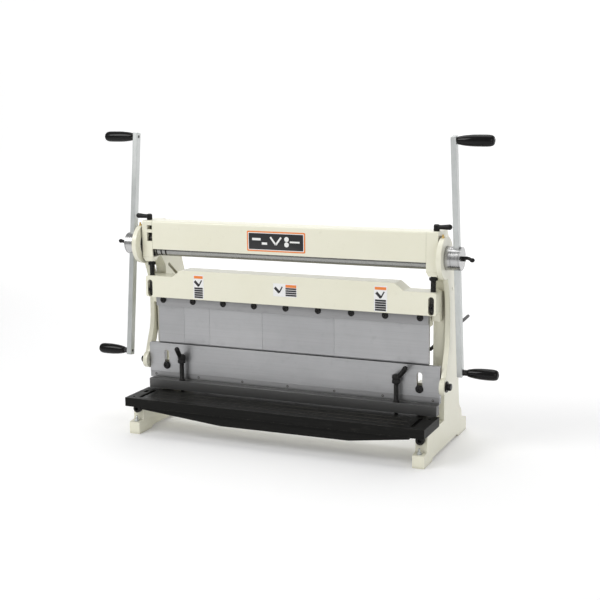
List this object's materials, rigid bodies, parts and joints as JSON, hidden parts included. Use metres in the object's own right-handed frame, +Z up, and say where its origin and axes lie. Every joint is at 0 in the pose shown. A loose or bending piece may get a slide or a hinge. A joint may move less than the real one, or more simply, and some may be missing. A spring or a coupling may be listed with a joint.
{
  "type": "sheet metal brake",
  "caption": "Bench machine with cast side frames that shears, folds and rolls sheet metal: finger press brake over a table and shear, slip roll on top, handle bars at both ends.",
  "frame": {"origin": "on the bench, under the middle of the whole machine", "axes": "+X along the work to the machine's right seen from the operator, -Y towards the operator, +Z up"},
  "size_m": [1.4554, 0.704, 1.0548],
  "materials": {
    "cream_enamel": "smooth enamel over castings and folded sheet",
    "ground_steel": "ground flat",
    "turned_steel": "turned bright",
    "zinc_bar": "bright zinc plate",
    "black_oxide": "black oxide",
    "table_black": "black painted casting, machined top",
    "grip_plastic": "moulded, glossy",
    "gear_steel": "plain machined"
  },
  "bodies": {
    "frame": {"bed_casting": "cream_enamel", "lower_shear_blade": "ground_steel", "extension_table": "table_black", "roll_cover": "cream_enamel", "left_side_frame": "cream_enamel", "left_gauge_rod": "black_oxide", "left_table_bolt": "black_oxide", "left_ram_guide_bolt": "black_oxide", "left_beam_lock_bolt": "black_oxide", "right_side_frame": "cream_enamel", "right_gauge_rod": "black_oxide", "right_table_bolt": "black_oxide", "right_ram_guide_bolt": "black_oxide", "right_beam_lock_bolt": "black_oxide"},
    "crank": {"lower_roll": "turned_steel", "lower_roll_gear": "gear_steel", "left_eccentric_hub": "turned_steel", "right_eccentric_hub": "turned_steel"},
    "ram": {"ram_plate": "ground_steel", "upper_shear_blade": "ground_steel"},
    "finger_beam": {"finger_beam": "cream_enamel", "finger_clamp_strip": "ground_steel", "brake_finger_1": "ground_steel", "brake_finger_2": "ground_steel", "brake_finger_3": "ground_steel", "brake_finger_4": "ground_steel", "brake_finger_5": "ground_steel"},
    "upper_carriage": {"left_upper_bearing": "gear_steel", "right_upper_bearing": "gear_steel"},
    "upper_roll": {"upper_roll": "turned_steel", "upper_roll_gear": "gear_steel"},
    "rear_carriage": {"left_rear_bearing": "gear_steel", "right_rear_bearing": "gear_steel"},
    "rear_roll": {"rear_roll": "turned_steel"},
    "hold_down": {"hold_down_bar": "ground_steel"},
    "gauge_fence": {"gauge_fence": "black_oxide"},
    "left_rod": {"left_connecting_rod": "cream_enamel", "left_ram_pin": "black_oxide"},
    "left_bar": {"left_handle_bar": "zinc_bar", "left_upper_grip_spindle": "black_oxide", "left_lower_grip_spindle": "black_oxide"},
    "left_upper_grip": {"left_upper_grip": "grip_plastic"},
    "left_lower_grip": {"left_lower_grip": "grip_plastic"},
    "left_hub_clamp": {"left_hub_clamp_lever": "black_oxide"},
    "left_jack": {"left_jack_screw": "black_oxide"},
    "left_pinch": {"left_pinch_lever": "black_oxide"},
    "left_stud": {"left_hold_down_stud": "black_oxide"},
    "left_hold_lever": {"left_hold_down_lever": "black_oxide"},
    "right_rod": {"right_connecting_rod": "cream_enamel", "right_ram_pin": "black_oxide"},
    "right_bar": {"right_handle_bar": "zinc_bar", "right_upper_grip_spindle": "black_oxide", "right_lower_grip_spindle": "black_oxide"},
    "right_upper_grip": {"right_upper_grip": "grip_plastic"},
    "right_lower_grip": {"right_lower_grip": "grip_plastic"},
    "right_hub_clamp": {"right_hub_clamp_lever": "black_oxide"},
    "right_jack": {"right_jack_screw": "black_oxide"},
    "right_pinch": {"right_pinch_lever": "black_oxide"},
    "right_stud": {"right_hold_down_stud": "black_oxide"},
    "right_hold_lever": {"right_hold_down_lever": "black_oxide"}
  },
  "joints": [
    {"name": "crank_turn", "type": "hinge", "parent": "frame", "child": "crank", "pos_m": [0, -0.178, 0.639], "axis": [1, 0, 0], "range_deg": [0, 180]},
    {"name": "ram_stroke", "type": "slide", "parent": "frame", "child": "ram", "axis": [0, 0, 1], "range_m": [-0.04, 0]},
    {"name": "upper_roll_lift", "type": "slide", "parent": "frame", "child": "upper_carriage", "axis": [0, 0, 1], "range_m": [0, 0.002]},
    {"name": "upper_roll_turn", "type": "hinge", "parent": "upper_carriage", "child": "upper_roll", "pos_m": [0, -0.178, 0.679], "axis": [1, 0, 0], "range_deg": [-180, 0]},
    {"name": "rear_roll_lift", "type": "slide", "parent": "frame", "child": "rear_carriage", "axis": [0, 0, 1], "range_m": [-0.008, 0.008]},
    {"name": "rear_roll_turn", "type": "hinge", "parent": "rear_carriage", "child": "rear_roll", "pos_m": [0, -0.134, 0.652], "axis": [1, 0, 0], "continuous": true},
    {"name": "finger_beam_lift", "type": "slide", "parent": "frame", "child": "finger_beam", "axis": [0, 0, 1], "range_m": [0, 0.008]},
    {"name": "hold_down_lift", "type": "slide", "parent": "frame", "child": "hold_down", "axis": [0, 0, 1], "range_m": [-0.0055, 0.003]},
    {"name": "gauge_fence_slide", "type": "slide", "parent": "frame", "child": "gauge_fence", "axis": [0, 0.9981, 0.0624], "range_m": [-0.105, 0.21]},
    {"name": "left_rod_swing", "type": "hinge", "parent": "crank", "child": "left_rod", "pos_m": [-0.549, -0.178, 0.659], "axis": [1, 0, 0], "range_deg": [-180, 0]},
    {"name": "left_bar_slide", "type": "slide", "parent": "crank", "child": "left_bar", "axis": [0, 0.1197, 0.9928], "range_m": [-0.2, 0.2]},
    {"name": "left_upper_grip_spin", "type": "hinge", "parent": "left_bar", "child": "left_upper_grip", "pos_m": [-0.6, -0.13257, 1.03577], "axis": [1, 0, 0], "continuous": true},
    {"name": "left_lower_grip_spin", "type": "hinge", "parent": "left_bar", "child": "left_lower_grip", "pos_m": [-0.6, -0.22451, 0.27329], "axis": [1, 0, 0], "continuous": true},
    {"name": "left_hub_clamp_turn", "type": "hinge", "parent": "crank", "child": "left_hub_clamp", "pos_m": [-0.617, -0.178, 0.659], "axis": [1, 0, 0], "range_deg": [-60, 30]},
    {"name": "left_jack_turn", "type": "hinge", "parent": "frame", "child": "left_jack", "pos_m": [-0.523, -0.184, 0.59], "axis": [0, 0, 1], "range_deg": [0, 1440]},
    {"name": "left_pinch_turn", "type": "hinge", "parent": "upper_carriage", "child": "left_pinch", "pos_m": [-0.5305, -0.178, 0.745], "axis": [0, 0, 1], "range_deg": [0, 360]},
    {"name": "left_stud_turn", "type": "hinge", "parent": "hold_down", "child": "left_stud", "pos_m": [-0.404, -0.2, 0.236], "axis": [0, 0, 1], "range_deg": [-660, 360]},
    {"name": "left_hold_lever_turn", "type": "hinge", "parent": "hold_down", "child": "left_hold_lever", "pos_m": [-0.404, -0.2, 0.25], "axis": [0, 0, 1], "range_deg": [-80, 95]},
    {"name": "right_rod_swing", "type": "hinge", "parent": "crank", "child": "right_rod", "pos_m": [0.549, -0.178, 0.659], "axis": [1, 0, 0], "range_deg": [-180, 0]},
    {"name": "right_bar_slide", "type": "slide", "parent": "crank", "child": "right_bar", "axis": [0, -0.1395, 0.9902], "range_m": [-0.2, 0.2]},
    {"name": "right_upper_grip_spin", "type": "hinge", "parent": "right_bar", "child": "right_upper_grip", "pos_m": [0.6, -0.23096, 1.03479], "axis": [1, 0, 0], "continuous": true},
    {"name": "right_lower_grip_spin", "type": "hinge", "parent": "right_bar", "child": "right_lower_grip", "pos_m": [0.6, -0.12379, 0.2743], "axis": [1, 0, 0], "continuous": true},
    {"name": "right_hub_clamp_turn", "type": "hinge", "parent": "crank", "child": "right_hub_clamp", "pos_m": [0.617, -0.178, 0.659], "axis": [1, 0, 0], "range_deg": [-60, 30]},
    {"name": "right_jack_turn", "type": "hinge", "parent": "frame", "child": "right_jack", "pos_m": [0.523, -0.184, 0.59], "axis": [0, 0, 1], "range_deg": [0, 1440]},
    {"name": "right_pinch_turn", "type": "hinge", "parent": "upper_carriage", "child": "right_pinch", "pos_m": [0.5305, -0.178, 0.745], "axis": [0, 0, 1], "range_deg": [0, 360]},
    {"name": "right_stud_turn", "type": "hinge", "parent": "hold_down", "child": "right_stud", "pos_m": [0.404, -0.2, 0.236], "axis": [0, 0, 1], "range_deg": [-660, 360]},
    {"name": "right_hold_lever_turn", "type": "hinge", "parent": "hold_down", "child": "right_hold_lever", "pos_m": [0.404, -0.2, 0.25], "axis": [0, 0, 1], "range_deg": [-155, 15]}
  ],
  "couplings": [
    {"joint": "ram_stroke", "follows": "crank_turn", "m_per_rad": -0.012732},
    {"joint": "upper_roll_turn", "follows": "crank_turn", "ratio": -1},
    {"joint": "left_rod_swing", "follows": "crank_turn", "ratio": -1},
    {"joint": "left_jack_turn", "follows": "finger_beam_lift", "rad_per_m": 3141.6},
    {"joint": "left_pinch_turn", "follows": "upper_roll_lift", "rad_per_m": 3141.6},
    {"joint": "left_stud_turn", "follows": "hold_down_lift", "rad_per_m": 2094.4},
    {"joint": "right_rod_swing", "follows": "crank_turn", "ratio": -1},
    {"joint": "right_jack_turn", "follows": "finger_beam_lift", "rad_per_m": 3141.6},
    {"joint": "right_pinch_turn", "follows": "upper_roll_lift", "rad_per_m": 3141.6},
    {"joint": "right_stud_turn", "follows": "hold_down_lift", "rad_per_m": 2094.4}
  ]
}
